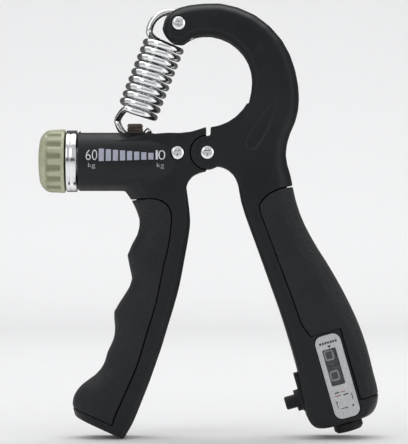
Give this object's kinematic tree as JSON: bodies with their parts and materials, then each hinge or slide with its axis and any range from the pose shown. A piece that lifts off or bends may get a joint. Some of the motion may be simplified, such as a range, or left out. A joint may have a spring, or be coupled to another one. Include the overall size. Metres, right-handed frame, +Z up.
{
  "type": "finger exerciser",
  "caption": "Adjustable hand-grip exerciser: two hinged handles, a tension spring on a screw-driven nut, and a press counter in the palm handle.",
  "frame": {"origin": "bottom centre of the whole exerciser standing on its two handle ends, spring relaxed", "axes": "+Z up from the handle ends to the curved arm, +X from the adjuster knob towards the palm handle, -Y the side that carries the force scale and the counter window"},
  "size_m": [0.1288, 0.0242, 0.1648],
  "materials": {
    "black_plastic": "satin moulded",
    "grip_rubber": "pebbled soft grip",
    "bright_chrome": "polished",
    "bronze": "machined, dull",
    "olive_plastic": "slightly translucent",
    "plain_steel": "turned",
    "silver_plate": "satin printed plate",
    "clear_window": "clear",
    "counter_nylon": "moulded"
  },
  "bodies": {
    "palm_handle": {"palm_handle_core": "black_plastic", "palm_grip_sleeve": "grip_rubber", "pivot_screw": "bright_chrome", "pivot_cap_nut": "bright_chrome", "arm_screw": "bright_chrome", "arm_cap_nut": "bright_chrome", "end_cap": "black_plastic", "label_plate": "silver_plate", "window_lens": "clear_window", "button_bezel": "black_plastic", "pinion_pin": "plain_steel"},
    "finger_handle": {"finger_handle_core": "black_plastic", "finger_grip_sleeve": "grip_rubber", "collar_ring": "bright_chrome", "tail_bush": "bronze", "barrel_screw": "bright_chrome", "barrel_cap_nut": "bright_chrome"},
    "adjuster": {"adjuster_knob": "olive_plastic", "lead_screw": "plain_steel"},
    "nut_carrier": {"spring_nut": "bronze"},
    "spring_bearing": {"spring_bush": "plain_steel"},
    "spring": {"tension_spring": "bright_chrome"},
    "reset_shaft": {"reset_knob": "black_plastic", "counter_axle": "plain_steel"},
    "units": {"units_wheel": "counter_nylon", "ratchet_wheel": "counter_nylon"},
    "tens": {"tens_wheel": "counter_nylon"},
    "pinion": {"transfer_pinion": "counter_nylon"},
    "button": {"count_button": "black_plastic", "pawl": "plain_steel", "button_spring": "plain_steel"}
  },
  "joints": [
    {"name": "grip_pivot", "type": "hinge", "parent": "palm_handle", "child": "finger_handle", "pos_m": [-0.00055, 0, 0.108], "axis": [0, -1, 0], "range_deg": [0, 30], "stiffness_Nm_per_rad": 2},
    {"name": "knob_turn", "type": "hinge", "parent": "finger_handle", "child": "adjuster", "pos_m": [-0.04955, 0, 0.1049], "axis": [1, 0, 0], "range_deg": [-770, 1634]},
    {"name": "nut_travel", "type": "slide", "parent": "finger_handle", "child": "nut_carrier", "axis": [1, 0, 0], "range_m": [-0.0136, 0.0064]},
    {"name": "spring_swing", "type": "hinge", "parent": "palm_handle", "child": "spring_bearing", "pos_m": [-0.01135, 0, 0.1567], "axis": [0, -1, 0], "range_deg": [-1, 7]},
    {"name": "spring_tilt", "type": "hinge", "parent": "spring_bearing", "child": "spring", "pos_m": [-0.01135, 0, 0.1567], "axis": [0, -1, 0], "range_deg": [-16, 9], "deforming": ["tension_spring"]},
    {"name": "reset_turn", "type": "hinge", "parent": "palm_handle", "child": "reset_shaft", "pos_m": [0.04748, -0.002, 0.02378], "axis": [-0.274, 0, 0.9617], "continuous": true},
    {"name": "units_turn", "type": "hinge", "parent": "palm_handle", "child": "units", "pos_m": [0.04748, -0.002, 0.02378], "axis": [-0.274, 0, 0.9617], "continuous": true},
    {"name": "tens_turn", "type": "hinge", "parent": "palm_handle", "child": "tens", "pos_m": [0.04748, -0.002, 0.02378], "axis": [-0.274, 0, 0.9617], "continuous": true},
    {"name": "pinion_turn", "type": "hinge", "parent": "palm_handle", "child": "pinion", "pos_m": [0.04748, 0.00775, 0.02378], "axis": [-0.274, 0, 0.9617], "continuous": true},
    {"name": "count_press", "type": "slide", "parent": "palm_handle", "child": "button", "axis": [0.9617, 0, 0.274], "range_m": [0, 0.0028], "stiffness_N_per_m": 5, "deforming": ["button_spring"]}
  ],
  "couplings": [
    {"joint": "knob_turn", "follows": "nut_travel", "rad_per_m": -2094.4},
    {"joint": "spring_swing", "follows": "grip_pivot", "ratio": 0.19},
    {"joint": "spring_tilt", "follows": "nut_travel", "rad_per_m": 18.766},
    {"joint": "tens_turn", "follows": "units_turn", "ratio": 0.1},
    {"joint": "pinion_turn", "follows": "units_turn", "ratio": -0.25}
  ]
}
